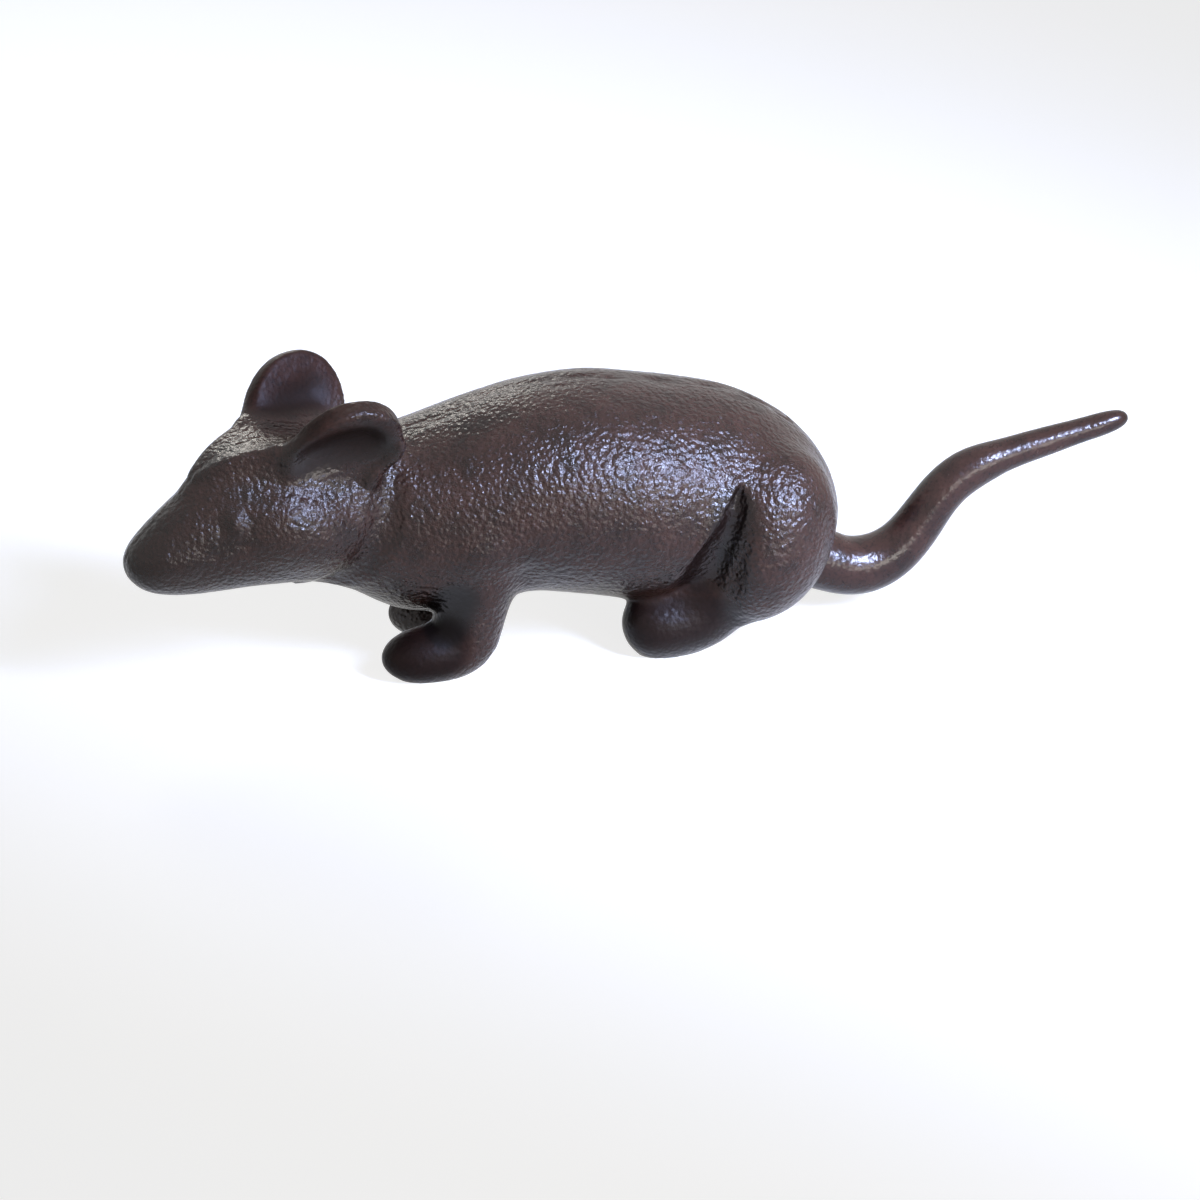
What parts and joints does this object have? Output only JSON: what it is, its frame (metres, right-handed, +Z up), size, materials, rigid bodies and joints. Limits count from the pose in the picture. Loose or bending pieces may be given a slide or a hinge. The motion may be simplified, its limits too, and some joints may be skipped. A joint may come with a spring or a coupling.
{
  "type": "mouse figurine",
  "caption": "Cast-iron mouse figurine with cupped ears and a rising tail: hollow half castings joined by a screw, with the tail clamped between them.",
  "frame": {"origin": "centre of the bounding box, on the plane that the soles stand on", "axes": "+Z up, +X from the nose towards the tail tip, -Y to the mouse's left side"},
  "size_m": [0.1881, 0.048, 0.0566],
  "materials": {
    "casting": "brown lacquer over a sand-cast skin, semi-gloss",
    "screw": "plain turned steel"
  },
  "bodies": {
    "root": {"left_half_casting": "casting", "right_half_casting": "casting", "tail_casting": "casting", "joining_screw": "screw"}
  },
  "joints": []
}
